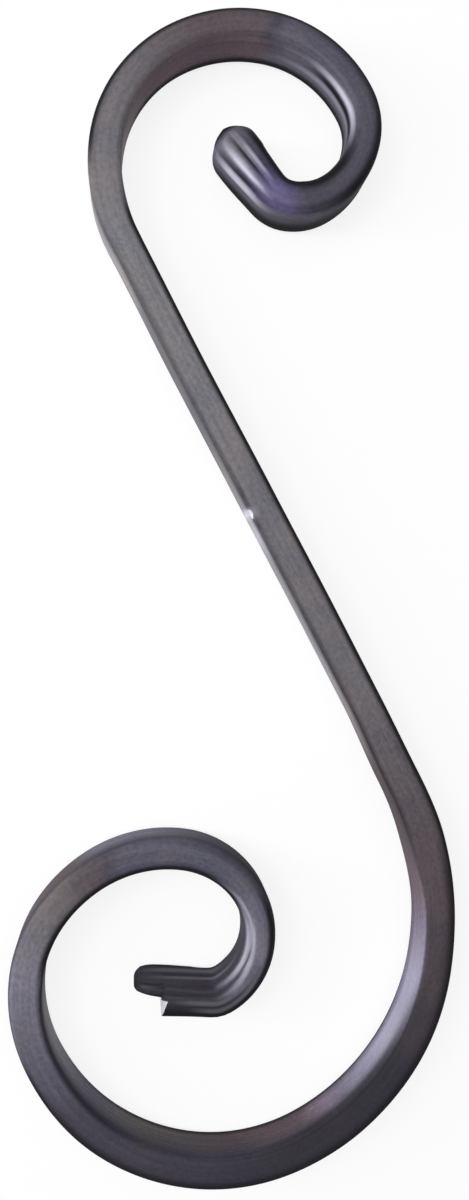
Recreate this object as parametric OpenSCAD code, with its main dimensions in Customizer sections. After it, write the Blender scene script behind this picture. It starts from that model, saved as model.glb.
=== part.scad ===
// Wrought iron S scroll, lying on its back: one flat bar bent the easy way into two volutes.
// +Y runs up the scroll, +Z is the face that is seen, and the origin is under the middle.

/* [Bar] */
// Thickness of the bar, seen from the front
bar_t = 8; // [7:0.5:9]
// Width of the bar, front to back
bar_w = 16; // [12:0.5:20]
// Radius along the four long edges of the bar
edge_r = 1.6; // [0.8:0.1:2.4]

/* [Stem] */
// Length of the straight stem between the two volutes
stem_len = 150; // [135:1:170]
// Lean of the stem from upright, in degrees
stem_lean = 27.8; // [5:0.1:35]

/* [Upper volute] */
// First quarter turn: radius on the bar's centre where it leaves the stem, and where it ends
upper_1 = [38, 33]; // [30:0.5:42]
// Second quarter turn, over the top
upper_2 = [36, 30.5]; // [29:0.5:40]
// Third quarter turn, down into the eye
upper_3 = [15.5, 19.5]; // [14:0.5:22]
// Last turn, round to the upper end
upper_4 = [14, 8]; // [7:0.5:15]

/* [Lower volute] */
// First quarter turn: radius on the bar's centre where it leaves the stem, and where it ends
lower_1 = [76, 60.5]; // [55:0.5:80]
// Second quarter turn, along the bottom
lower_2 = [47.5, 49.5]; // [44:0.5:54]
// Third quarter turn, up the far side
lower_3 = [38, 35]; // [34:0.5:40]
// Fourth quarter turn, over the top of the eye
lower_4 = [33, 21.5]; // [20:0.5:34]
// Fifth quarter turn, down inside the eye
lower_5 = [20, 16.5]; // [15:0.5:22]
// Tight bend before the lower end
lower_6 = 5; // [5:0.5:8]

/* [Upper end] */
// Length of the flared end, from the last bend to the middle of its round nose
flare_len = 12.5; // [8:0.5:14]

/* [Lower end] */
// Length from the tight bend to the tip of the tongue
end_len = 19.5; // [16:0.5:22]
// Depth of the break, from the tip of the tongue down to the bottom of the notch
break_depth = 8.7; // [6:0.1:10]
// Thickness of the tongue at its round nose
tongue_t = 2.1; // [1.6:0.1:2.4]
// Thickness of the tongue at its root
tongue_root_t = 3.5; // [3:0.1:4]
// How far the outer corner of the shoulder hooks past the bottom of the notch
shoulder_hook = 1.7; // [0.5:0.1:2.5]

/* [Nick] */
// Height of the nick above the lower end of the stem
nick_at = 76; // [30:1:120]
// Depth of the nick, in from the left front edge
nick_depth = 1; // [0.4:0.1:1.5]
// Radius of the nick's round bite
nick_r = 2.5; // [2:0.1:4]

/* [Hidden] */
$fn = 96;
iron = [0.34, 0.32, 0.34];
// Bends turn through the sharp angles of whole-number right triangles, so end faces meet exactly
turn_3_4 = atan2(3, 4);
turn_4_3 = atan2(4, 3);
turn_7_24 = atan2(7, 24);
flare_turn = turn_3_4 - 2 * turn_7_24;
quarter = [turn_3_4, turn_4_3];
eye_turns = [turn_3_4, 2 * (turn_3_4 - turn_7_24)];
// Each bend is its radius and its turn, in order from the stem
upper_bends = [
    for (pair = [[upper_1, quarter], [upper_2, quarter], [upper_3, quarter], [upper_4, eye_turns]])
        for (k = [0, 1]) [pair[0][k], pair[1][k]]
];
lower_bends = [
    for (radii = [lower_1, lower_2, lower_3, lower_4, lower_5])
        for (k = [0, 1]) [radii[k], quarter[k]],
    [lower_6, 2 * turn_7_24]
];
// Bends that reach furthest up, down, left and right
upper_top_bend = 2;
lower_bottom_bend = 2;
lower_left_bend = 4;
lower_right_bend = 0;
// How far the tongue's nose drops from the bar's inner face, and its root rises from the notch
tongue_drop = 0.5;
root_rise = 2.4;
overlap = 1;

// Turn made before bend i, with the stem heading along +Y
function turned(bends, i) = i == 0 ? 0 : turned(bends, i - 1) + bends[i - 1][1];

// Centre of bend i, seen from the end of the stem
function centre(bends, i) =
    i == 0
        ? [bends[0][0], 0]
        : centre(bends, i - 1)
            + (bends[i - 1][0] - bends[i][0]) * [-cos(turned(bends, i)), sin(turned(bends, i))];

// A point beside the upright stem, after the whole scroll leans
function leaned(p) =
    [p[0] * cos(stem_lean) - p[1] * sin(stem_lean), p[0] * sin(stem_lean) + p[1] * cos(stem_lean)];

function upper_centre(i) = leaned([0, stem_len] + centre(upper_bends, i));
function lower_centre(i) = leaned(-centre(lower_bends, i));
function reach(bends, i) = bends[i][0] + bar_t / 2;

top_y = upper_centre(upper_top_bend)[1] + reach(upper_bends, upper_top_bend);
bottom_y = lower_centre(lower_bottom_bend)[1] - reach(lower_bends, lower_bottom_bend);
left_x = lower_centre(lower_left_bend)[0] - reach(lower_bends, lower_left_bend);
right_x = lower_centre(lower_right_bend)[0] + reach(lower_bends, lower_right_bend);

// Section of the bar: X across its thickness, Y from back to front
module section() {
    translate([0, bar_w / 2]) {
        square([bar_t - 2 * edge_r, bar_w], center = true);
        square([bar_t, bar_w - 2 * edge_r], center = true);
        for (side = [-1, 1], face = [-1, 1])
            translate([side * (bar_t / 2 - edge_r), face * (bar_w / 2 - edge_r)])
                circle(edge_r);
    }
}

// Straight bar along +Y
module straight(length) {
    translate([0, length, 0])
        rotate([90, 0, 0])
            linear_extrude(length)
                section();
}

// Bar bent to the right about the origin, cut square where its turn ends
module bend(radius, turn) {
    past = radius + bar_t;
    difference() {
        rotate_extrude(angle = 90, start = 90)
            translate([radius, 0])
                section();
        if (turn < 90)
            rotate([0, 0, -turn])
                translate([-past, 0, -overlap])
                    cube([past, past, bar_w + 2 * overlap]);
    }
}

// Bends one after another from the origin, heading along +Y, with the bar's end as the child
module volute(bends, i = 0) {
    if (i < len(bends)) {
        radius = bends[i][0];
        turn = bends[i][1];
        translate([radius, 0, 0]) {
            bend(radius, turn);
            rotate([0, 0, -turn])
                translate([-radius, 0, 0])
                    volute(bends, i + 1)
                        children();
        }
    } else {
        children();
    }
}

// Upset end: two lays of the bar that part a little, closed by a round nose
module flared_end() {
    nose_r = bar_t / 2 + flare_len * sin(flare_turn);
    for (side = [-1, 1])
        rotate([0, 0, side * flare_turn])
            straight(flare_len * cos(flare_turn));
    translate([0, flare_len, 0])
        rotate_extrude()
            intersection() {
                translate([nose_r - bar_t / 2, 0])
                    section_filled();
                square([nose_r, bar_w]);
            }
}

// The section carried inwards past the axis of the nose
module section_filled() {
    section();
    translate([-bar_t, 0])
        square([bar_t, bar_w]);
}

// Broken end: the outer side is gone past a hooked shoulder and a tapered tongue is left
module broken_end() {
    inner = bar_t / 2;
    outer = -bar_t / 2;
    taper_from = end_len / 3;
    nose_r = tongue_t / 2;
    nose = [inner - tongue_drop - nose_r, end_len - nose_r];
    flank = [0.98 * nose_r, 0];
    notch_in = 0.4 * bar_t;
    notch_y = end_len - break_depth;
    shoulder_slope = shoulder_hook / notch_in;
    intersection() {
        straight(end_len);
        translate([0, 0, -overlap])
            linear_extrude(bar_w + 2 * overlap) {
                polygon([
                    [inner + overlap, -overlap],
                    [inner + overlap, taper_from],
                    nose + flank,
                    nose - flank,
                    [inner - tongue_root_t, notch_y + root_rise],
                    [outer + notch_in, notch_y],
                    [outer - overlap, notch_y + shoulder_slope * (notch_in + overlap)],
                    [outer - overlap, -overlap]
                ]);
                translate(nose)
                    circle(nose_r);
            }
    }
}

// Round bite out of the left front edge of the stem
module nick() {
    away = (nick_r - nick_depth) / sqrt(2);
    translate([-bar_t / 2 - away, nick_at, bar_w + away])
        sphere(nick_r);
}

module scroll() {
    color(iron)
        translate([-(left_x + right_x) / 2, -(bottom_y + top_y) / 2, 0])
            rotate([0, 0, stem_lean])
                difference() {
                    union() {
                        straight(stem_len);
                        translate([0, stem_len, 0])
                            volute(upper_bends)
                                flared_end();
                        rotate([0, 0, 180])
                            volute(lower_bends)
                                broken_end();
                    }
                    nick();
                }
}

scroll();
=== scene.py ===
"""Looks of a wrought iron S scroll that lies on its back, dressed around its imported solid.

The scroll is one flat bar with a straight stem, a small upper volute and a large lower volute. Its
section is drawn along the route of the bar with extrude and spin, and each ring is seated on the
section that the forged bar has there. The finish follows the bar through an attribute that holds each
point's place on the straightened bar: across its thickness, along its length and from back to front.
"""
import logging
import math
from dataclasses import astuple, dataclass, field
from enum import Enum
from typing import TypeVar

import bmesh
import bpy
from bmesh.types import BMEdge, BMesh, BMVert
from bpy.types import Material, Node, NodeSocket, Object, World
from mathutils import Matrix, Vector, noise
from mathutils.kdtree import KDTree


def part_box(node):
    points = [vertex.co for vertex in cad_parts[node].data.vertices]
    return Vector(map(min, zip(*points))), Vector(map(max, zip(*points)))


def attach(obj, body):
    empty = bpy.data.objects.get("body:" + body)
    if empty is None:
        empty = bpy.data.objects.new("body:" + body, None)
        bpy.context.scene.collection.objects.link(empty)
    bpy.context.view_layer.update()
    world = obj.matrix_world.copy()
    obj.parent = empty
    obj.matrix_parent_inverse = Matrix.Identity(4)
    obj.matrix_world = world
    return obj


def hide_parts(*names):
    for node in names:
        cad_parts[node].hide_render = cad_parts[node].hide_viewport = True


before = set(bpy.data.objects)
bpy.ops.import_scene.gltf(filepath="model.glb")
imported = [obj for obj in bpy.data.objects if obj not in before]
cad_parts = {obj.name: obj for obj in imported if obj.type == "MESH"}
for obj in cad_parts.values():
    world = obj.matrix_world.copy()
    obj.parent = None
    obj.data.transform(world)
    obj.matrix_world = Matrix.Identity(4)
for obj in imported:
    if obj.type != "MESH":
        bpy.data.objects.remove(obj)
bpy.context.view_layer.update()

LOG = logging.getLogger("scroll")
MM = 0.001
NODE = "scroll"
BODY = "root"
STRAIGHT = "straight"
# The most of a section's width or depth that the radius of a corner takes.
CORNER_LIMIT = 0.48
# The Mix node's colour sockets, whose names its other sockets have too.
MIX_FIRST = 6
MIX_SECOND = 7
MIX_RESULT = 2

Colour = tuple[float, float, float]


def linear(value: int) -> float:
    """Undoes the display curve of one channel, which goes from 0 to 255."""
    share = value / 255
    return share / 12.92 if share <= 0.04045 else ((share + 0.055) / 1.055) ** 2.4


def srgb(red: int, green: int, blue: int) -> Colour:
    """Turns display values from 0 to 255 into the linear colour that shaders take."""
    return linear(red), linear(green), linear(blue)


def smooth_share(value: float, start: float, end: float) -> float:
    """Gives how far a value has come from start to end, from 0 to 1 and eased at both."""
    share = min(1.0, max(0.0, (value - start) / (end - start)))
    return share * share * (3 - 2 * share)


def opaque(colour: Colour) -> tuple[float, float, float, float]:
    """Gives a colour the full alpha that colour sockets take."""
    return (*colour, 1.0)


def as_object(name: str, mesh: BMesh) -> Object:
    """Makes an object of a bmesh and frees it.

    Args:
        name: The object's name.
        mesh: The bmesh.

    Returns:
        The object, linked to the scene.
    """
    data = bpy.data.meshes.new(name)
    mesh.to_mesh(data)
    mesh.free()
    made = bpy.data.objects.new(name, data)
    bpy.context.scene.collection.objects.link(made)
    return made


class Turn(Enum):
    """Turns of the bends, each the sharp angle of a whole-number right triangle or made of two."""

    SHORT = math.atan2(3, 4)
    LONG = math.atan2(4, 3)
    EYE = 2 * (math.atan2(3, 4) - math.atan2(7, 24))
    TIGHT = 2 * math.atan2(7, 24)


class Sense(Enum):
    """Which way a route leaves the foot of the stem: up towards the small volute, or down."""

    UP = 1
    DOWN = -1


@dataclass(frozen=True)
class Bend:
    """One bend of the bar, to the right of its heading."""

    radius: float
    turn: Turn

    @property
    def length(self) -> float:
        """Length on the centre line."""
        return self.radius * self.turn.value


def volute(last: Turn, *radii: float) -> tuple[Bend, ...]:
    """Lists bends with radii in millimetres, short and long in alternation except for the last."""
    turns = [(Turn.SHORT, Turn.LONG)[index % 2] for index in range(len(radii) - 1)]
    return tuple(Bend(radius * MM, turn) for radius, turn in zip(radii, (*turns, last)))


@dataclass(frozen=True)
class Section:
    """The bar's section at one station: its reach to the sides and to both faces, and its roundness."""

    left: float
    right: float
    back: float
    front: float
    corner: float
    crown: float
    back_corner: float
    back_crown: float

    def point(self, corner_index: int, sweep: float, along_flat: float) -> Vector:
        """Finds a point of the section.

        Args:
            corner_index: Corner, counted from right front towards left front.
            sweep: Share of the corner's quarter circle, 1 on the flat after it.
            along_flat: Share of the flat after that corner, 0 while on the corner itself.

        Returns:
            The point, with X to the right and Z to the front.
        """
        here = self.corner_point(corner_index, sweep)
        if along_flat > 0:
            here = here.lerp(self.corner_point((corner_index + 1) % 4, 0.0), along_flat)
        half_t = (self.right - self.left) / 2
        half_w = (self.front - self.back) / 2
        middle = Vector(((self.right + self.left) / 2, 0, (self.front + self.back) / 2))
        out = here - middle
        crown = self.crown if out.z > 0 else self.back_crown
        out.z *= 1 - crown / half_w * (out.x / half_t) ** 2
        return middle + out

    def corner_point(self, index: int, sweep: float) -> Vector:
        """Finds a point on one of the four rounded corners.

        Args:
            index: Corner, counted from right front towards left front.
            sweep: Share of its quarter circle.

        Returns:
            The point, before the faces are crowned.
        """
        wanted = self.corner if index in (0, 1) else self.back_corner
        radius = min(wanted, CORNER_LIMIT * min(self.right - self.left, self.front - self.back))
        x = self.right - radius if index in (0, 3) else self.left + radius
        z = self.front - radius if index in (0, 1) else self.back + radius
        angle = (index + sweep) * math.pi / 2
        return Vector((x + radius * math.cos(angle), 0, z + radius * math.sin(angle)))


@dataclass
class Station:
    """One ring of the bar: its place and its length from the foot of the stem."""

    place: Matrix
    along: float


@dataclass(frozen=True)
class Roundness:
    """How far forging has rounded the section at a place along the bar, in millimetres.

    The back is the share of that rounding which the back edges have too.
    """

    along: float
    corner: float
    crown: float
    back: float = 1.0


@dataclass(frozen=True)
class Waver:
    """How far the hammer left each side outside its even line at a place along the bar, in millimetres."""

    along: float
    left: float
    right: float


Stop = TypeVar("Stop", Roundness, Waver)


def stop_at(stops: tuple[Stop, ...], along: float) -> Stop:
    """Finds what lies at a place along the bar, between the stops before and after it.

    Args:
        stops: The stops, in order along the bar.
        along: Length from the foot of the stem, in millimetres.

    Returns:
        A stop with the values there.
    """
    below = stops[0]
    for above in stops[1:]:
        if above.along >= along:
            share = smooth_share(along, below.along, above.along)
            pairs = zip(astuple(below), astuple(above))
            return type(below)(*(first + (second - first) * share for first, second in pairs))
        below = above
    return below


@dataclass
class BarShape:
    """Sizes of the bar, from the foot of its stem, where up is positive."""

    thick: float = 8 * MM
    width: float = 16 * MM
    stem: float = 150 * MM
    upper: tuple[Bend, ...] = volute(Turn.EYE, 38, 33, 36, 30.5, 15.5, 19.5, 14, 8)
    lower: tuple[Bend, ...] = volute(Turn.TIGHT, 76, 60.5, 47.5, 49.5, 38, 35, 33, 21.5, 20, 16.5, 5)
    flare_lead: float = 4 * MM
    flare_len: float = 12.5 * MM
    nose_r: float = 4.9 * MM
    nose_len: float = 5.3 * MM
    nose_depth: float = 3.6 * MM
    end_len: float = 19.5 * MM
    shoulder_at: float = 12.5 * MM
    tongue_t: float = 2.6 * MM
    tongue_root_t: float = 3.8 * MM
    tongue_drop: float = 0.4 * MM
    tongue_round: float = 5.0 * MM
    tip_back: float = 1.3
    tip_front: float = 0.8
    back_edge: float = 1.6 * MM
    swell_left: float = 0.6 * MM
    swell_left_run: tuple[float, float] = (-50 * MM, -15 * MM)
    swell_right: float = 1.1 * MM
    swell_right_run: tuple[float, float] = (-32 * MM, -13 * MM)
    roundness: tuple[Roundness, ...] = (
        Roundness(-330, 1.0, 0.3), Roundness(-312, 2.4, 0.5), Roundness(-290, 3.0, 0.9),
        Roundness(-262, 2.6, 0.7), Roundness(-225, 2.0, 0.3), Roundness(-170, 1.5, 0.1),
        Roundness(165, 1.5, 0.1), Roundness(200, 2.4, 0.3, 0.8), Roundness(250, 2.6, 0.4, 0.7),
        Roundness(285, 3.0, 0.8, 0.0), Roundness(302, 3.8, 1.1, 0.3), Roundness(318, 4.2, 1.2, 0.8),
    )
    wavers: tuple[Waver, ...] = (
        Waver(-326, 0.2, 0.4), Waver(-308, 0.4, 0.4), Waver(-285, -0.3, 0.3), Waver(-262, 0.3, 0),
        Waver(-234, 0.3, -0.2), Waver(-212, 0.1, 0.2), Waver(-182, 0.2, -0.4), Waver(-158, 0, 0),
        Waver(-112, 0, 0), Waver(-92, 0, 0.3), Waver(-70, 0, 0.4), Waver(-38, 0, 0), Waver(-16, 1.0, 0),
        Waver(-2, 1.0, -0.3), Waver(22, 0, 0), Waver(48, -0.1, 0.1), Waver(80, 0, -0.1),
        Waver(116, 0.1, -0.4), Waver(145, -0.2, -0.2), Waver(162, 0, 0.2), Waver(185, 0, 0),
    )

    @property
    def upper_end(self) -> float:
        """Where the upper volute's last bend ends."""
        return self.stem + sum(bend.length for bend in self.upper)

    @property
    def lower_end(self) -> float:
        """Where the lower volute's last bend ends."""
        return -sum(bend.length for bend in self.lower)

    @property
    def tip(self) -> float:
        """The tip of the tongue, the lowest place along the bar."""
        return self.lower_end - self.end_len

    @property
    def nose(self) -> float:
        """The tip of the round nose, the highest place along the bar."""
        return self.upper_end + self.flare_len + self.nose_len

    def section(self, along: float) -> Section:
        """Works out the section at a place along the bar.

        Args:
            along: Length from the foot of the stem.

        Returns:
            The section there.
        """
        half = self.thick / 2
        waver = stop_at(self.wavers, along / MM)
        left, right = -half - waver.left * MM, half + waver.right * MM
        back, front = 0.0, self.width
        nose_from = self.upper_end + self.flare_len
        past = along - nose_from
        flare = (self.nose_r - half) * smooth_share(along, self.upper_end - self.flare_lead, nose_from)
        left -= flare + self.swell_left * smooth_share(past, *self.swell_left_run)
        right += flare + self.swell_right * smooth_share(past, *self.swell_right_run)
        if past > 0:
            share = math.sqrt(max(0.0, 1 - min(1.0, past / self.nose_len) ** 2))
            left, right = left * share, right * share
            back += self.nose_depth * (1 - share)
            front -= self.nose_depth * (1 - share)
        into_tongue = self.lower_end - along
        if into_tongue > 0:
            left += self.tongue_drop * smooth_share(into_tongue, self.end_len / 2, self.end_len)
        if into_tongue > self.shoulder_at:
            left, right = self.tongue_sides(into_tongue, left)
        into_round = (into_tongue - self.end_len + self.tongue_round) / self.tongue_round
        if into_round > 0:
            retreat = self.tongue_round * (1 - math.sqrt(max(0.0, 1 - min(1.0, into_round) ** 2)))
            back += self.tip_back * retreat
            front -= self.tip_front * retreat
        edges = stop_at(self.roundness, along / MM)
        corner, crown = edges.corner * MM, edges.crown * MM
        back_corner = self.back_edge + (corner - self.back_edge) * edges.back
        return Section(left, right, back, front, corner, crown, back_corner, crown * edges.back)

    def tongue_sides(self, into: float, inner: float) -> tuple[float, float]:
        """Finds both sides of the tongue that is left past the break.

        Args:
            into: Length past the tight bend.
            inner: The bar's inner side there.

        Returns:
            The inner and the outer side, to the right of the upward heading.
        """
        nose_r = self.tongue_t / 2
        nose_at = self.end_len - nose_r
        nose_x = -self.thick / 2 + self.tongue_drop + nose_r
        if into >= nose_at:
            reach = math.sqrt(max(0.0, nose_r ** 2 - min(nose_r, into - nose_at) ** 2))
            return nose_x - reach, nose_x + reach
        share = (into - self.shoulder_at) / (nose_at - self.shoulder_at)
        root = -self.thick / 2 + self.tongue_root_t
        return inner, root + (nose_x + nose_r - root) * share


@dataclass
class Sweep:
    """Draws the bar's rings along its route, from the foot of the stem to both ends."""

    shape: BarShape
    foot: Matrix
    step: float = 1.0 * MM
    corner_steps: int = 8
    face_steps: int = 10
    wall_steps: int = 13
    tip_steps: int = 12
    tip_sweep: float = math.radians(87)
    brink: float = 0.04 * MM
    merge_gap: float = 1e-7
    stations: list[Station] = field(default_factory=list)
    bar: BMesh = field(default_factory=bmesh.new)

    def slots(self) -> list[tuple[int, float, float]]:
        """Lists the places round the section that each ring has a point at.

        Returns:
            Corner, share of its quarter circle and share of the flat after it, in order.
        """
        places = []
        for corner in range(4):
            flat_steps = self.face_steps if corner in (0, 2) else self.wall_steps
            places += [(corner, k / self.corner_steps, 0.0) for k in range(self.corner_steps + 1)]
            places += [(corner, 1.0, k / flat_steps) for k in range(1, flat_steps)]
        return places

    def build(self) -> BMesh:
        """Sweeps the whole bar and closes its ends.

        Returns:
            The mesh of the bar, before the break and the nick, with each point's ring in a layer.
        """
        places = self.slots()
        bar = self.bar
        self.stations.append(Station(self.foot.copy(), 0.0))
        ends = [self.route(sense) for sense in Sense]
        ring_of, slot_of = bar.verts.layers.int["ring"], bar.verts.layers.int["slot"]
        sections = [self.shape.section(station.along) for station in self.stations]
        for vert in bar.verts:
            ring = vert[ring_of]
            vert.co = self.stations[ring].place @ sections[ring].point(*places[vert[slot_of]])
        seams = [edge.verts[0] for edge in bar.edges if edge.is_boundary]
        bmesh.ops.remove_doubles(bar, verts=seams, dist=self.merge_gap)
        for end in ends:
            rim = [e for e in bar.edges if e.is_boundary and e.verts[0][ring_of] == end]
            bmesh.ops.contextual_create(bar, geom=rim)
        bmesh.ops.recalc_face_normals(bar, faces=bar.faces[:])
        return bar

    def route(self, sense: Sense) -> int:
        """Draws the bar from the foot of the stem to one end.

        Args:
            sense: Which way to go.

        Returns:
            The number of the last ring.
        """
        shape = self.shape
        ring = 0
        if sense is Sense.UP:
            ring = self.run(ring, sense, self.even_steps(shape.stem))
        for bend in shape.upper if sense is Sense.UP else shape.lower:
            ring = self.run(ring, sense, self.even_steps(bend.length), bend)
        return self.run(ring, sense, self.end_steps(sense))

    def run(self, ring: int, sense: Sense, steps: list[float], bend: Bend | None = None) -> int:
        """Draws one run of the bar, straight by extruding or bent by spinning, and joins it.

        Args:
            ring: Number of the ring to go on from.
            sense: Which way to go.
            steps: Length of each step on the centre line.
            bend: The bend, if the run isn't straight.

        Returns:
            The number of the last ring.
        """
        part = bmesh.new()
        ring_of, slot_of = part.verts.layers.int.new("ring"), part.verts.layers.int.new("slot")
        points = len(self.slots())
        verts = bmesh.ops.create_circle(part, segments=points, radius=self.shape.thick / 2)["verts"]
        for slot, vert in enumerate(verts):
            vert[ring_of], vert[slot_of] = ring, slot
        bmesh.ops.transform(part, matrix=self.stations[ring].place, verts=verts)
        edges = part.edges[:]
        for step in steps:
            here = self.stations[ring]
            if bend is None:
                grown = bmesh.ops.extrude_edge_only(part, edges=edges)["geom"]
                move = Matrix.Translation((0, sense.value * step, 0))
            else:
                hub = Vector((sense.value * bend.radius, 0, 0))
                turn = step / bend.radius
                grown = bmesh.ops.spin(
                    part, geom=verts + edges, cent=here.place @ hub, axis=(0, 0, -1), angle=turn, steps=1,
                )["geom_last"]
                move = Matrix.Translation(hub) @ Matrix.Rotation(-turn, 4, "Z") @ Matrix.Translation(-hub)
            verts = [g for g in grown if isinstance(g, BMVert)]
            edges = [g for g in grown if isinstance(g, BMEdge)]
            if bend is None:
                bmesh.ops.translate(part, verts=verts, vec=here.place.to_3x3() @ move.translation)
            self.stations.append(Station(here.place @ move, here.along + sense.value * step))
            ring = len(self.stations) - 1
            for vert in verts:
                vert[ring_of] = ring
        self.join(part)
        return ring

    def join(self, part: BMesh) -> None:
        """Adds a run to the bar and frees it.

        Args:
            part: The run.
        """
        data = bpy.data.meshes.new("run")
        part.to_mesh(data)
        part.free()
        self.bar.from_mesh(data)
        bpy.data.meshes.remove(data)

    def even_steps(self, length: float) -> list[float]:
        """Cuts a length into even steps of about the usual size."""
        count = max(1, round(length / self.step))
        return [length / count] * count

    def end_steps(self, sense: Sense) -> list[float]:
        """Cuts an end into steps that crowd towards its round tip.

        Args:
            sense: Which end.

        Returns:
            The steps, in order from the last bend.
        """
        shape = self.shape
        if sense is Sense.UP:
            radius = shape.nose_len
            steps = self.even_steps(shape.flare_len)
        else:
            radius = shape.tongue_t / 2
            steps = self.even_steps(shape.shoulder_at) + [self.brink]
            steps += self.even_steps(shape.end_len - radius - shape.shoulder_at - self.brink)
        angles = [k / self.tip_steps * self.tip_sweep for k in range(self.tip_steps + 1)]
        return steps + [radius * (math.sin(b) - math.sin(a)) for a, b in zip(angles, angles[1:])]


class Scale(Enum):
    """Colours of the iron's scale and oxide, where the fire and the hammer left them, and of the light and
    shade painted over them.
    """

    GREY = srgb(112, 108, 113)
    # Painted light on walls that show bright.
    ASH = srgb(132, 129, 134)
    PALE = srgb(178, 175, 180)
    WARM = srgb(116, 111, 113)
    DUSK = srgb(92, 82, 87)
    BROWN = srgb(80, 68, 73)
    # A pinkish grey for walls, lighter than their scale; on the upper volute's inner wall it is painted light
    # over that wall's shade.
    ROSE = srgb(134, 117, 125)
    UMBER = srgb(106, 92, 99)
    SLATE = srgb(126, 123, 138)
    BLUE = srgb(92, 89, 103)
    INK = srgb(70, 67, 79)
    VIOLET = srgb(104, 96, 136)
    # A painted reflection on the lower volute's left wall.
    LILAC_SHEEN = srgb(178, 173, 202)
    BLACK = srgb(47, 44, 52)
    # Near-black painted shade on edges, silhouettes and folds.
    PAINTED_SHADE = srgb(22, 20, 24)
    # The lilac white of the painted highlights and of the wear at the nick.
    GLINT = srgb(238, 236, 255)
    # The break's bare metal, painted near white, partly as a painted reflection.
    BRIGHT = srgb(248, 247, 255)


class Layer(Enum):
    """What a mark leaves on the scale: painted shade, painted highlights with the wear at the nick, or the
    bare metal of a break, painted near white as a painted reflection in part.
    """

    PAINTED_SHADE = "soot"
    HIGHLIGHT_AND_WEAR = "rub"
    BARE = "bare"


@dataclass(frozen=True)
class Zone:
    """A length of one scale along the bar, or a single place of it, in millimetres."""

    scale: Scale
    start: float
    end: float | None = None


@dataclass(frozen=True)
class Mark:
    """A line that runs along the bar: painted shade along an edge, a painted highlight, the wear at the nick,
    or a fold that forging left, with painted shade in it.

    Places are in millimetres. The girth is counted from the middle of the face round to the walls,
    positive to the right, so that the front edges are about 4 either way and the back edges about 20.
    """

    start: float
    end: float
    girth: float
    reach: float
    strength: float = 1.0
    depth: float = 0.0
    fade: float = 6.0
    drift: float = 0.0
    crispness: int = 4

    def share(self, girth: float, along: float) -> float:
        """Finds how strong the mark is at a point of the straightened bar.

        Args:
            girth: Place round the bar.
            along: Place along it.

        Returns:
            The share, from 0 to 1.
        """
        if not self.start - self.fade < along < self.end + self.fade:
            return 0.0
        way = min(1.0, max(0.0, (along - self.start) / (self.end - self.start)))
        aside = girth - self.girth - self.drift * way
        window = smooth_share(along, self.start - self.fade, self.start + self.fade)
        window *= 1 - smooth_share(along, self.end - self.fade, self.end + self.fade)
        return window * math.exp(-(aside / self.reach) ** self.crispness)


@dataclass(frozen=True)
class Grain:
    """Noise on the scale: its scale per metre, the share of that along the bar, and its octaves."""

    scale: float
    lengthwise: float
    detail: float
    roughness: float = 0.6


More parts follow.
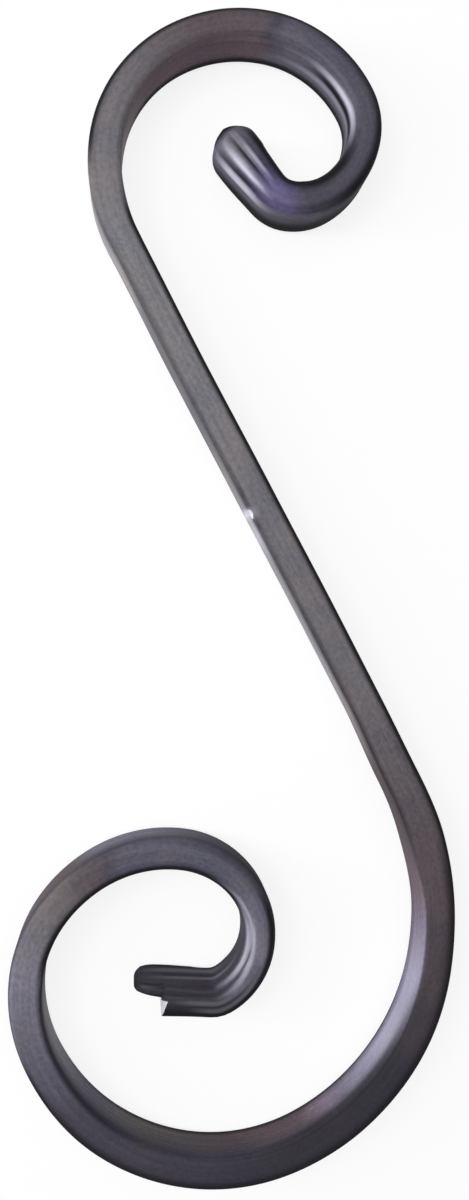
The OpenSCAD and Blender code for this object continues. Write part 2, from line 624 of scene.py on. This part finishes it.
@dataclass(frozen=True)
class IronFinish:
    """Bare forged iron: grey mill scale on the stem, blued and blackened scale on the volutes, with painted
    light and shade on the walls and along the edges.
    """

    # The face darkens and blues towards the volutes as the scale does there; its darkest length on the lower
    # volute, from -110 to -80, is partly painted shade.
    face: tuple[Zone, ...] = (
        Zone(Scale.BLACK, -330, -308), Zone(Scale.SLATE, -292), Zone(Scale.BLUE, -270, -243),
        Zone(Scale.INK, -240), Zone(Scale.DUSK, -236), Zone(Scale.WARM, -222), Zone(Scale.SLATE, -205),
        Zone(Scale.INK, -168), Zone(Scale.BLACK, -110, -80), Zone(Scale.DUSK, -15), Zone(Scale.GREY, 25),
        Zone(Scale.ASH, 150), Zone(Scale.GREY, 190), Zone(Scale.DUSK, 210, 226), Zone(Scale.INK, 229),
        Zone(Scale.BLUE, 233), Zone(Scale.INK, 290), Zone(Scale.VIOLET, 296, 300), Zone(Scale.SLATE, 309),
    )
    # The wall zones hold painted light and shade as well as scale: the lilac band on the lower volute's left
    # wall is a painted reflection, the pale lengths are painted light, the pinkish grey on the upper volute's
    # inner wall is painted lighter over its shade, and the back and front of each wall are toned apart as
    # light falls on them.
    left_front: tuple[Zone, ...] = (
        Zone(Scale.INK, -330, -300), Zone(Scale.BLACK, -215), Zone(Scale.INK, -185, -115),
        Zone(Scale.BLUE, -86), Zone(Scale.SLATE, -70), Zone(Scale.LILAC_SHEEN, -54), Zone(Scale.ROSE, -28),
        Zone(Scale.BROWN, -12, 20), Zone(Scale.GREY, 60), Zone(Scale.ASH, 165), Zone(Scale.INK, 282),
        Zone(Scale.SLATE, 289),
    )
    left_back: tuple[Zone, ...] = (
        Zone(Scale.INK, -330, -300), Zone(Scale.GREY, -208), Zone(Scale.PALE, -194, -184),
        Zone(Scale.SLATE, -168), Zone(Scale.WARM, -148), Zone(Scale.DUSK, -128), Zone(Scale.UMBER, -104),
        Zone(Scale.LILAC_SHEEN, -76, -54), Zone(Scale.ROSE, -32), Zone(Scale.UMBER, -18), Zone(Scale.DUSK, 0),
        Zone(Scale.PALE, 30, 72), Zone(Scale.ASH, 98, 122), Zone(Scale.PALE, 150), Zone(Scale.BLACK, 285),
        Zone(Scale.SLATE, 310),
    )
    right_front: tuple[Zone, ...] = (
        Zone(Scale.BLUE, -275), Zone(Scale.INK, -239), Zone(Scale.DUSK, -232), Zone(Scale.INK, -210),
        Zone(Scale.ASH, 165), Zone(Scale.ROSE, 195, 227), Zone(Scale.BLUE, 230), Zone(Scale.SLATE, 236),
        Zone(Scale.BLUE, 316),
    )
    right_back: tuple[Zone, ...] = (
        Zone(Scale.BLUE, -275), Zone(Scale.SLATE, -252, -239), Zone(Scale.DUSK, -231),
        Zone(Scale.BLUE, -210), Zone(Scale.PALE, 172), Zone(Scale.ROSE, 190, 227),
        Zone(Scale.SLATE, 232), Zone(Scale.INK, 316),
    )
    # Painted shade: near-black lines along front edges and silhouettes, along back edges where the bar meets
    # the floor, and between painted highlights; the marks with a depth are also folds pressed into the
    # surface.
    soot: tuple[Mark, ...] = (
        Mark(-330, -278, 4.3, 2.1, fade=8), Mark(-328, -302, 4.3, 3.0),
        Mark(-300, -268, 12.5, 9.5, fade=12), Mark(-345, -329, 0.0, 40.0, 0.9, fade=1.2),
        Mark(-184, 158, 4.4, 1.7), Mark(-176, -18, 4.4, 2.6, 0.9, fade=12),
        Mark(-214, -158, -5.2, 1.8, 0.5, fade=12), Mark(272, 315, 4.3, 2.2),
        Mark(270, 294, 4.0, 2.5, fade=8), Mark(-281, -206, -4.8, 2.2), Mark(168, 284, -4.6, 1.9),
        Mark(236, 284, -4.4, 2.3, 0.8, fade=10), Mark(-15, 160, -4.4, 1.4, 0.45, fade=20),
        Mark(-328, -300, -18.5, 2.6), Mark(-168, -50, -19.0, 1.8, fade=25),
        Mark(-100, -24, -18.4, 3.2, 0.35, fade=14), Mark(-115, -62, -5.4, 2.4, 0.6, fade=14),
        Mark(262, 316, -17.0, 4.2, fade=10), Mark(186, 276, 17.8, 2.8),
        Mark(244, 270, 9.1, 1.4, 1.0, 0.3), Mark(-306, -282, -2.4, 0.5, 0.6, 0.3, fade=8, drift=-0.8),
        Mark(-326, -302, -1.6, 0.4, 0.6, 0.2), Mark(-320, -302, 1.4, 0.4, 0.6, 0.2),
        Mark(-326, -304, -11.0, 0.8, 0.5, 0.2), Mark(299, 314, -4.6, 0.5, 0.9, 0.35),
        Mark(299, 313, -5.9, 0.5, 0.9, 0.35), Mark(300, 314, -0.9, 0.5, 0.9, 0.35),
        Mark(299, 315, 1.8, 0.8, 0.6, 0.2), Mark(315.2, 330, 0.0, 40.0, fade=1.2),
        Mark(71.0, 74.2, -4.0, 1.0, 0.6, fade=1.2), Mark(78.6, 84.0, -4.2, 1.2, 0.6, fade=1.6),
    )
    # Painted highlights along rounded edges and the tips, and a painted reflection on the lower volute's left
    # wall; then the bright bare stripe across the wall at the nick and the paler wear below it.
    highlights_and_wear: tuple[Mark, ...] = (
        Mark(247, 264, 5.7, 1.15, fade=9, drift=-0.6), Mark(236, 262, 12.0, 1.1, 0.35, fade=10, drift=-0.6),
        Mark(-82, -46, -12.5, 5.0, 0.3, fade=12, drift=3.0), Mark(-304, -284, -4.2, 0.8, 0.5, fade=8),
        Mark(-304, -274, -1.0, 0.8, 0.4, fade=8, drift=-2.6), Mark(-326, -306, -14.2, 1.2, 0.12, fade=5),
        Mark(-324, -300, -8.6, 1.0, 0.14, drift=-0.8), Mark(-318, -300, 0.2, 0.6, 0.1, fade=5),
        Mark(-314, -298, 2.2, 0.5, 0.1, fade=4), Mark(300, 311, -2.7, 0.65, fade=4),
        Mark(299, 311, -7.9, 1.4, fade=4), Mark(302, 310, 0.5, 0.35, 0.45, fade=3),
        Mark(75.0, 77.2, -11.4, 7.2, fade=0.6), Mark(66, 75, -13.0, 6.5, 0.5, fade=5),
    )
    # Colour and roughness of each layer: painted shade, painted highlights with the wear at the nick, and the
    # break's bare metal, painted near white, partly as a painted reflection.
    layers: tuple[tuple[Layer, Scale, float], ...] = (
        (Layer.PAINTED_SHADE, Scale.PAINTED_SHADE, 0.95),
        (Layer.HIGHLIGHT_AND_WEAR, Scale.GLINT, 0.3),
        (Layer.BARE, Scale.BRIGHT, 0.5),
    )
    grain: Grain = Grain(1300, 0.7, 4)
    streaks: Grain = Grain(1100, 0.03, 3)
    patches: Grain = Grain(70, 1.0, 3)
    zone_swing: float = 14 * MM
    tone_weights: tuple[float, float, float] = (1.0, 0.8, 0.5)
    tone_cut: float = 0.15
    tint_swing: float = 0.24
    roughness_stem: float = 0.55
    roughness_ends: float = 0.35
    roughness_wall: float = 0.85
    roughness_swing: float = 0.3
    gloss: float = 0.2
    bump_streaks: float = 0.6
    bump_grain: float = 0.5
    bump_strength: float = 0.3
    bump_distance: float = 0.2 * MM
    wall_blend: tuple[float, float] = (0.8 * MM, 0.05 * MM)
    front_from: float = 0.4
    upper_forged: tuple[float, float] = (215 * MM, 255 * MM)
    lower_forged: tuple[float, float] = (-215 * MM, -270 * MM)

    @property
    def marks(self) -> dict[Layer, tuple[Mark, ...]]:
        """The marks of each layer that lies on the scale."""
        return {Layer.PAINTED_SHADE: self.soot, Layer.HIGHLIGHT_AND_WEAR: self.highlights_and_wear}


class NodeSheet:
    """Lays out the nodes of a material or a room with short calls."""

    def __init__(self, owner: Material | World) -> None:
        """Turns the owner's nodes on and clears them.

        Args:
            owner: The material or the room.
        """
        owner.use_nodes = True
        self.owner = owner
        self.tree = owner.node_tree
        self.tree.nodes.clear()

    def add(self, kind: str, inputs: dict | None = None, **settings: object) -> Node:
        """Adds a node.

        Args:
            kind: The node's type.
            inputs: Socket names or numbers, each with a value or the socket that feeds it.
            settings: The node's own settings.

        Returns:
            The node.
        """
        node = self.tree.nodes.new(kind)
        for key, value in settings.items():
            setattr(node, key, value)
        for key, value in (inputs or {}).items():
            if isinstance(value, NodeSocket):
                self.tree.links.new(value, node.inputs[key])
            else:
                node.inputs[key].default_value = value
        return node

    def math(self, operation: str, first: object, second: object = 0.0) -> NodeSocket:
        """Adds a sum, product or other operation on two values, and gives its result."""
        return self.add("ShaderNodeMath", {0: first, 1: second}, operation=operation).outputs[0]

    def ramp_between(self, value: object, start: float, end: float) -> NodeSocket:
        """Adds an eased share of the way from start to end, and gives its result."""
        inputs = {"Value": value, "From Min": start, "From Max": end}
        return self.add("ShaderNodeMapRange", inputs, interpolation_type="SMOOTHSTEP").outputs["Result"]

    def between(self, share: object, first: object, second: object) -> NodeSocket:
        """Adds a value that goes from the first to the second with the share, and gives its result."""
        node = self.add("ShaderNodeMapRange", {"Value": share, "To Min": first, "To Max": second})
        return node.outputs["Result"]

    def swing(self, noise_value: NodeSocket, reach: float) -> NodeSocket:
        """Adds a noise that swings about 0, with a reach from its least to its most, and gives its result."""
        return self.math("MULTIPLY", self.math("SUBTRACT", noise_value, 0.5), reach)

    def weighted(self, *terms: tuple[NodeSocket, float]) -> NodeSocket:
        """Adds a sum of values with their weights.

        Args:
            terms: Each value and its weight.

        Returns:
            The sum.
        """
        total, *others = (self.math("MULTIPLY", value, weight) for value, weight in terms)
        for other in others:
            total = self.math("ADD", total, other)
        return total

    def attribute(self, name: str) -> Node:
        """Adds a node that reads one of the mesh's attributes."""
        return self.add("ShaderNodeAttribute", attribute_name=name, attribute_type="GEOMETRY")

    def seen(self) -> NodeSocket:
        """Adds a switch for what the camera sees straight, in a gloss or through a clear thing.

        Returns:
            The switch, 1 where it is seen.
        """
        path = self.add("ShaderNodeLightPath")
        switch = path.outputs["Is Camera Ray"]
        for ray in ("Is Glossy Ray", "Is Transmission Ray"):
            switch = self.math("MAXIMUM", switch, path.outputs[ray])
        return switch

    def mix(self, share: object, first: object, second: object, blend: str = "MIX") -> NodeSocket:
        """Adds a mix of two colours, by the share of the second, and gives its result."""
        inputs = {0: share, MIX_FIRST: first, MIX_SECOND: second}
        return self.add("ShaderNodeMix", inputs, data_type="RGBA", blend_type=blend).outputs[MIX_RESULT]


@dataclass
class IronMaterial:
    """The iron's material, read from each point's place on the straightened bar."""

    shape: BarShape
    finish: IronFinish
    sheet: NodeSheet = field(default_factory=lambda: NodeSheet(bpy.data.materials.new("forged_iron")))

    def build(self) -> Material:
        """Makes the material.

        Returns:
            The material.
        """
        sheet, finish = self.sheet, self.finish
        place = sheet.attribute(STRAIGHT).outputs["Vector"]
        axes = sheet.add("ShaderNodeSeparateXYZ", {0: place})
        noises = [self.noise(kind, place) for kind in (finish.grain, finish.streaks, finish.patches)]
        grain, streaks, _ = noises
        on_wall = self.on_wall(axes.outputs["X"])
        colour = self.colour(axes, on_wall, *noises)
        rough = sheet.between(self.on_ends(axes.outputs["Y"]), finish.roughness_stem, finish.roughness_ends)
        rough = sheet.between(on_wall, rough, finish.roughness_wall)
        rough = sheet.math("ADD", rough, sheet.swing(grain, finish.roughness_swing))
        # Lays painted shade, painted highlights with the wear at the nick, and the near-white break over the
        # scale.
        for layer, scale, roughness in finish.layers:
            mask = sheet.attribute(layer.value).outputs["Fac"]
            colour = sheet.mix(mask, colour, opaque(scale.value))
            rough = sheet.between(mask, rough, roughness)
        height = sheet.weighted((streaks, finish.bump_streaks), (grain, finish.bump_grain))
        bump = sheet.add("ShaderNodeBump", {
            "Strength": finish.bump_strength, "Distance": finish.bump_distance, "Height": height,
        })
        shader = sheet.add("ShaderNodeBsdfPrincipled", {
            "Base Color": colour, "Roughness": rough, "Specular IOR Level": finish.gloss,
            "Normal": bump.outputs["Normal"],
        })
        sheet.add("ShaderNodeOutputMaterial", {"Surface": shader.outputs["BSDF"]})
        return sheet.owner

    def on_wall(self, across: NodeSocket) -> NodeSocket:
        """Adds a mask of the two walls, which blends into the face over the soft edge."""
        start, end = (self.shape.thick / 2 - inside for inside in self.finish.wall_blend)
        return self.sheet.ramp_between(self.sheet.math("ABSOLUTE", across), start, end)

    def on_ends(self, along: NodeSocket) -> NodeSocket:
        """Adds a mask of the two forged ends, which are smoother than the stem."""
        ends = (self.finish.upper_forged, self.finish.lower_forged)
        return self.sheet.math("MAXIMUM", *(self.sheet.ramp_between(along, *end) for end in ends))

    def zones(self, share: NodeSocket, zones: tuple[Zone, ...]) -> NodeSocket:
        """Adds a colour ramp with a stop at both ends of each zone.

        Args:
            share: Place along the bar, from 0 to 1.
            zones: The zones, in order.

        Returns:
            The colour.
        """
        node = self.sheet.add("ShaderNodeValToRGB", {"Fac": share})
        stops = node.color_ramp.elements
        low, high = self.shape.tip, self.shape.nose
        ends = [(zone.scale, along) for zone in zones for along in (zone.start, zone.end)]
        for index, (scale, along) in enumerate(end for end in ends if end[1] is not None):
            place = (along * MM - low) / (high - low)
            stop = stops[index] if index < 2 else stops.new(place)
            stop.position = place
            stop.color = opaque(scale.value)
        return node.outputs["Color"]

    def noise(self, kind: Grain, place: NodeSocket) -> NodeSocket:
        """Adds one of the finish's noises.

        Args:
            kind: Which noise.
            place: Place on the straightened bar.

        Returns:
            The noise.
        """
        mapped = self.sheet.add("ShaderNodeMapping", {"Vector": place, "Scale": (1.0, kind.lengthwise, 1.0)})
        node = self.sheet.add("ShaderNodeTexNoise", {
            "Vector": mapped.outputs["Vector"], "Scale": kind.scale, "Detail": kind.detail,
            "Roughness": kind.roughness,
        })
        return node.outputs["Fac"]

    def colour(
        self, axes: Node, on_wall: NodeSocket, grain: NodeSocket, streaks: NodeSocket, patches: NodeSocket,
    ) -> NodeSocket:
        """Adds the colour of the scale and of the light and shade painted on it: zones along the bar on the
        face and both walls, and mottling.

        Args:
            axes: Place on the straightened bar, axis by axis.
            on_wall: Mask of the walls.
            grain: Fine noise.
            streaks: Lengthwise noise.
            patches: Broad noise.

        Returns:
            The colour.
        """
        sheet, finish = self.sheet, self.finish
        moved = sheet.math("ADD", axes.outputs["Y"], sheet.swing(patches, finish.zone_swing))
        inputs = {"Value": moved, "From Min": self.shape.tip, "From Max": self.shape.nose}
        share = sheet.add("ShaderNodeMapRange", inputs)
        walls = (finish.left_front, finish.left_back, finish.right_front, finish.right_back)
        face, left_front, left_back, right_front, right_back = (
            self.zones(share.outputs["Result"], zones) for zones in (finish.face, *walls)
        )
        width = self.shape.width
        # The walls' back and front zones blend with height, as painted light and shade across each wall.
        forward = sheet.ramp_between(axes.outputs["Z"], finish.front_from * width, width)
        left = sheet.mix(forward, left_back, left_front)
        right = sheet.mix(forward, right_back, right_front)
        is_right = sheet.math("GREATER_THAN", axes.outputs["X"], 0.0)
        colour = sheet.mix(on_wall, face, sheet.mix(is_right, left, right))
        tone = sheet.weighted(*zip((grain, streaks, patches), finish.tone_weights))
        tone = sheet.math("SUBTRACT", tone, finish.tone_cut)
        tint = sheet.swing(patches, finish.tint_swing)
        warmer, cooler = sheet.math("ADD", tone, tint), sheet.math("SUBTRACT", tone, tint)
        shade = sheet.add("ShaderNodeCombineColor", {0: warmer, 1: tone, 2: cooler}).outputs[0]
        return sheet.mix(1.0, colour, shade, "MULTIPLY")


@dataclass
class Scroll:
    """The scroll: the bent bar with its broken lower end and the nick in its stem."""

    shape: BarShape = field(default_factory=BarShape)
    finish: IronFinish = field(default_factory=IronFinish)
    lean: float = math.radians(27.8)
    widest_bend: int = 0
    lowest_bend: int = 2
    notch_in: float = 3.8 * MM
    notch_past: float = 1.5 * MM
    break_depth: float = 8.6 * MM
    root_rise: float = 2.3 * MM
    shoulder_slope: float = 0.305
    nick_at: float = 76 * MM
    nick_r: float = 1.6 * MM
    nick_out: float = 0.8 * MM
    nick_down: float = 1.0 * MM
    nick_rough: float = 0.18
    nick_grain: float = 1400.0
    unevenness: float = 0.05 * MM
    dent_bias: float = 0.75
    dents_across: float = 160.0
    dents_along: float = 45.0
    corner_reach: float = 6 * MM
    crook_reach: float = 9 * MM
    corner_rounds: int = 20
    corner_easing: float = 0.5
    thinnest: float = 0.1 * MM
    sharp_from: float = math.radians(38)
    stations: list[Station] = field(default_factory=list)

    def build(self) -> Object:
        """Models the scroll and dresses it.

        Returns:
            The finished piece.
        """
        sweep = Sweep(self.shape, self.foot())
        bar = sweep.build()
        self.stations = sweep.stations
        self.ease_corners(bar)
        self.forge(bar)
        piece = as_object("scroll_bar", bar)
        cutter = self.cutter()
        piece.data.materials.append(IronMaterial(self.shape, self.finish).build())
        cutter.data.materials.append(bpy.data.materials.new("break_marker"))
        self.cut(piece, cutter)
        self.stamp(piece)
        piece.data.shade_smooth()
        piece.data.set_sharp_from_angle(angle=self.sharp_from)
        bpy.data.objects.remove(cutter)
        return piece

    def foot(self) -> Matrix:
        """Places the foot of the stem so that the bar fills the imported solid's box.

        Returns:
            The place of the foot, with Y up the stem.
        """
        turn = Matrix.Rotation(self.lean, 4, "Z")
        reach_right = self.extreme(self.widest_bend, Vector((1, 0, 0)))
        reach_down = self.extreme(self.lowest_bend, Vector((0, -1, 0)))
        low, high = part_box(NODE)
        return Matrix.Translation((high.x - reach_right, low.y + reach_down, 0)) @ turn

    def extreme(self, index: int, way: Vector) -> float:
        """Finds how far a lower bend's outer wall reaches from the foot of the stem.

        Args:
            index: The bend that reaches furthest.
            way: The direction to measure in.

        Returns:
            The reach in that direction.
        """
        place = Matrix.Rotation(self.lean, 4, "Z")
        for bend in self.shape.lower[:index]:
            hub = Vector((-bend.radius, 0, 0))
            place = place @ Matrix.Translation(hub) @ Matrix.Rotation(-bend.turn.value, 4, "Z")
            place = place @ Matrix.Translation(-hub)
        radius = self.shape.lower[index].radius
        hub = place @ Vector((-radius, 0, 0))
        return hub.dot(way) + radius + self.shape.thick / 2

    def homes(self) -> list[tuple[Matrix, float, Section]]:
        """Lists each ring's way back to the straightened bar, its place along it and its section."""
        return [(s.place.inverted(), s.along, self.shape.section(s.along)) for s in self.stations]

    def ease_corners(self, bar: BMesh) -> None:
        """Rounds the inner sides of both volutes' last bends, where hammering closed them softly.

        Args:
            bar: The mesh of the bar.
        """
        ring_of = bar.verts.layers.int["ring"]
        shape = self.shape
        lower = shape.lower_end + shape.lower[-1].length / 2
        inner_from = shape.thick / 4
        inner = []
        for vert in bar.verts:
            station = self.stations[vert[ring_of]]
            aside = (station.place.inverted() @ vert.co).x
            at_lower = abs(station.along - lower) < self.corner_reach and aside < -inner_from
            at_upper = abs(station.along - shape.upper_end) < self.crook_reach and aside > inner_from
            if at_lower or at_upper:
                inner.append(vert)
        for _ in range(self.corner_rounds):
            bmesh.ops.smooth_vert(
                bar, verts=inner, factor=self.corner_easing, use_axis_x=True, use_axis_y=True,
            )

    def forge(self, bar: BMesh) -> None:
        """Moves the surface in a little, as hand forging leaves it, and presses the folds in.

        Args:
            bar: The mesh of the bar.
        """
        bar.normal_update()
        ring_of = bar.verts.layers.int["ring"]
        folds = [mark for mark in self.finish.soot if mark.depth]
        homes = self.homes()
        grid = Vector((self.dents_across, self.dents_along, self.dents_across))
        for vert in bar.verts:
            back_to_bar, along, section = homes[vert[ring_of]]
            local = back_to_bar @ vert.co
            spot = Vector((local.x, along, local.z)) * grid
            inwards = self.unevenness * (self.dent_bias + noise.noise(spot) / 2)
            flat = self.flattened(section, local) / MM
            for fold in folds:
                inwards += fold.depth * MM * fold.share(self.girth(flat), along / MM)
            vert.co -= vert.normal * inwards

    def flattened(self, section: Section, local: Vector) -> Vector:
        """Stretches a point of a section over the plain bar's section, so that marks follow its sides.

        Args:
            section: The section at the point's station.
            local: The point, in the bar's own directions there.

        Returns:
            The point on the plain bar.
        """
        across = (local.x - section.left) / max(section.right - section.left, self.thinnest)
        up = (local.z - section.back) / max(section.front - section.back, self.thinnest)
        return Vector(((across - 0.5) * self.shape.thick, local.y, up * self.shape.width))

    def cutter(self) -> Object:
        """Models what is missing: the notch past the broken shoulder, and the nick.

        Returns:
            The cutter.
        """
        tool = bmesh.new()
        self.add_notch(tool)
        self.add_nick(tool)
        end = min(self.stations, key=lambda s: abs(s.along - self.shape.lower_end)).place
        foot = min(self.stations, key=lambda s: abs(s.along)).place
        for vert in tool.verts:
            is_notch = vert.co.y < 0
            vert.co = (end if is_notch else foot) @ vert.co
        return as_object("cutter", tool)

    def add_notch(self, tool: BMesh) -> None:
        """Adds the notch as a block that two planes trim to a wedge: the shoulder and the tongue's root.

        Args:
            tool: The empty mesh to make it in.
        """
        half, past, width = self.shape.thick / 2, self.notch_past, self.shape.width
        bottom = Vector((half - self.notch_in, -(self.shape.end_len - self.break_depth), width / 2))
        root = Vector((-half + self.shape.tongue_root_t, bottom.y - self.root_rise, bottom.z))
        size = Vector((2 * half, 2 * self.root_rise, width + 2 * past))
        middle = Vector((root.x + half - past, root.y + self.root_rise, bottom.z))
        bmesh.ops.create_cube(tool, size=1, matrix=Matrix.LocRotScale(middle, None, size))
        shoulder = Vector((self.shoulder_slope, 1, 0))
        tongue = Vector((-self.root_rise, bottom.x - root.x, 0))
        for way in (shoulder, tongue):
            whole = tool.verts[:] + tool.edges[:] + tool.faces[:]
            bmesh.ops.bisect_plane(tool, geom=whole, plane_co=bottom, plane_no=way, clear_outer=True)
            bmesh.ops.contextual_create(tool, geom=[edge for edge in tool.edges if edge.is_boundary])
        bmesh.ops.recalc_face_normals(tool, faces=tool.faces[:])

    def add_nick(self, tool: BMesh) -> None:
        """Adds the nick as a rough ball at the left front edge of the stem.

        Args:
            tool: The mesh to add it to.
        """
        ball = bmesh.ops.create_icosphere(tool, subdivisions=3, radius=self.nick_r)["verts"]
        for vert in ball:
            vert.co *= 1 + self.nick_rough * noise.noise(vert.co * self.nick_grain)
        centre = (-self.shape.thick / 2 - self.nick_out, self.nick_at, self.shape.width - self.nick_down)
        bmesh.ops.translate(tool, verts=ball, vec=centre)

    @staticmethod
    def cut(piece: Object, cutter: Object) -> None:
        """Takes the cutter out of the bar.

        Args:
            piece: The bar.
            cutter: What is missing from it.
        """
        modifier = piece.modifiers.new("break", "BOOLEAN")
        modifier.operation = "DIFFERENCE"
        modifier.solver = "MANIFOLD"
        modifier.material_mode = "TRANSFER"
        modifier.object = cutter
        bpy.context.view_layer.update()
        done = piece.evaluated_get(bpy.context.evaluated_depsgraph_get())
        data = bpy.data.meshes.new_from_object(done)
        piece.modifiers.clear()
        piece.data = data

    def stamp(self, piece: Object) -> None:
        """Stores each point's place on the straightened bar, and how strong each layer is there.

        Args:
            piece: The bar.
        """
        tree = KDTree(len(self.stations))
        for index, station in enumerate(self.stations):
            tree.insert(station.place.translation, index)
        tree.balance()
        homes = self.homes()
        places: list[float] = []
        layers: dict[Layer, list[float]] = {layer: [] for layer in self.finish.marks}
        for vert in piece.data.vertices:
            flat = Vector((vert.co.x, vert.co.y, 0))
            back_to_bar, along, section = homes[tree.find(flat)[1]]
            spot = self.flattened(section, back_to_bar @ vert.co)
            spot.y += along
            places.extend(spot)
            for layer, strength in self.strengths(spot / MM).items():
                layers[layer].append(strength)
        piece.data.attributes.new(STRAIGHT, "FLOAT_VECTOR", "POINT").data.foreach_set("vector", places)
        for layer, values in layers.items():
            piece.data.attributes.new(layer.value, "FLOAT", "POINT").data.foreach_set("value", values)
        bare = [float(face.material_index > 0) for face in piece.data.polygons]
        piece.data.attributes.new(Layer.BARE.value, "FLOAT", "FACE").data.foreach_set("value", bare)
        LOG.info("%s: %d faces of bare break", piece.name, int(sum(bare)))
        piece.data.polygons.foreach_set("material_index", [0] * len(bare))
        while len(piece.data.materials) > 1:
            piece.data.materials.pop()

    def girth(self, spot: Vector) -> float:
        """Finds a point's place round the bar, in millimetres from the middle of its face."""
        return math.copysign(abs(spot.x) + self.shape.width / MM - spot.z, spot.x)

    def strengths(self, spot: Vector) -> dict[Layer, float]:
        """Finds the strongest mark of each layer at a point.

        Args:
            spot: Place on the straightened bar, in millimetres.

        Returns:
            The strength of each layer, from 0 to 1.
        """
        girth = self.girth(spot)
        return {
            layer: max(mark.strength * mark.share(girth, spot.y) for mark in marks)
            for layer, marks in self.finish.marks.items()
        }


@dataclass(frozen=True)
class Lamp:
    """A soft lamp that points at the middle of the scroll."""

    name: str
    place: tuple[float, float, float]
    size: tuple[float, float]
    watts: float

    def build(self) -> None:
        """Hangs the lamp."""
        data = bpy.data.lights.new(self.name, "AREA")
        data.shape = "RECTANGLE"
        data.size, data.size_y = self.size
        data.energy = self.watts
        lamp = bpy.data.objects.new(self.name, data)
        lamp.location = self.place
        lamp.rotation_mode = "QUATERNION"
        lamp.rotation_quaternion = (-Vector(self.place)).to_track_quat("-Z", "Y")
        bpy.context.scene.collection.objects.link(lamp)


@dataclass
class Studio:
    """A pale floor, soft lamps and a dim room."""

    floor_size: float = 30.0
    floor_gap: float = 0.02 * MM
    floor_plain: float = 0.8
    floor_colour: float = 0.22
    floor_glow: float = 0.83
    lamps: tuple[Lamp, ...] = (
        Lamp("left_strip", (-0.62, 0.1, 0.5), (0.16, 1.1), 3.9),
        Lamp("top_strip", (-0.1, 0.05, 0.9), (0.1, 1.1), 1.5),
        Lamp("overhead", (-0.2, 0.4, 1.3), (1.4, 1.4), 5.0),
    )
    room_colour: Colour = (0.96, 0.97, 1.0)
    room_light: float = 0.15
    room_white: float = 1.0

    def build(self) -> None:
        """Makes the floor, the lamps and the room's light."""
        self.floor()
        for lamp in self.lamps:
            lamp.build()
        self.room()

    def floor(self) -> None:
        """Makes the floor, which looks white and keeps the scroll's shadow."""
        mesh = bmesh.new()
        bmesh.ops.create_grid(mesh, x_segments=1, y_segments=1, size=self.floor_size / 2)
        bmesh.ops.translate(mesh, verts=mesh.verts[:], vec=(0, 0, -self.floor_gap))
        floor = as_object("floor", mesh)
        sheet = NodeSheet(bpy.data.materials.new("pale_floor"))
        plain, shaded = (
            sheet.add("ShaderNodeBsdfDiffuse", {"Color": (grey, grey, grey, 1.0)}).outputs[0]
            for grey in (self.floor_plain, self.floor_colour)
        )
        glow = sheet.add("ShaderNodeEmission", {"Strength": self.floor_glow})
        white = sheet.add("ShaderNodeAddShader", {0: shaded, 1: glow.outputs[0]})
        mixed = sheet.add("ShaderNodeMixShader", {0: sheet.seen(), 1: plain, 2: white.outputs[0]})
        sheet.add("ShaderNodeOutputMaterial", {"Surface": mixed.outputs[0]})
        floor.data.materials.append(sheet.owner)

    def room(self) -> None:
        """Sets the room: white where the camera sees it, and dim light on the scroll."""
        sheet = NodeSheet(bpy.data.worlds.new("room"))
        strength = sheet.between(sheet.seen(), self.room_light, self.room_white)
        inputs = {"Color": opaque(self.room_colour), "Strength": strength}
        background = sheet.add("ShaderNodeBackground", inputs)
        sheet.add("ShaderNodeOutputWorld", {"Surface": background.outputs[0]})
        bpy.context.scene.world = sheet.owner


@dataclass(frozen=True)
class PhotoCamera:
    """The camera, which looks down at the scroll as the photograph does."""

    image: tuple[int, int] = (469, 1200)
    eye: tuple[float, float, float] = (-24.82 * MM, 5.69 * MM, 299.07 * MM)
    plumb_pixel: tuple[float, float] = (133.6, 579.1)
    focal_pixels: float = 1167.6
    sensor: float = 36.0
    clip: tuple[float, float] = (0.01, 20.0)

    def build(self) -> None:
        """Makes the camera and gives it to the scene."""
        data = bpy.data.cameras.new("photo_camera")
        data.sensor_width = self.sensor
        data.lens = self.sensor * self.focal_pixels / max(self.image)
        data.clip_start, data.clip_end = self.clip
        camera = bpy.data.objects.new("photo_camera", data)
        camera.matrix_world = Matrix.Translation(self.eye) @ self.turn().to_4x4()
        bpy.context.scene.collection.objects.link(camera)
        bpy.context.scene.camera = camera

    def turn(self) -> Matrix:
        """Works out the camera's turn from the pixel that lies plumb under it.

        Returns:
            The rotation from the camera to the room.
        """
        across = (self.plumb_pixel[0] - self.image[0] / 2) / self.focal_pixels
        down = (self.plumb_pixel[1] - self.image[1] / 2) / self.focal_pixels
        up = -Vector((across, -down, -1)).normalized()
        north = (Vector((0, 1, 0)) - up * up.y).normalized()
        return Matrix((north.cross(up), north, up))


def main() -> None:
    """Builds the scene and reports each piece."""
    logging.basicConfig(level=logging.INFO, format="%(name)s: %(message)s")
    PhotoCamera().build()
    Studio().build()
    bpy.context.scene.view_settings.view_transform = "Standard"
    piece = Scroll().build()
    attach(piece, BODY)
    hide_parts(NODE)
    LOG.info("%s: %d faces", piece.name, len(piece.data.polygons))


if __name__ == "__main__":
    main()
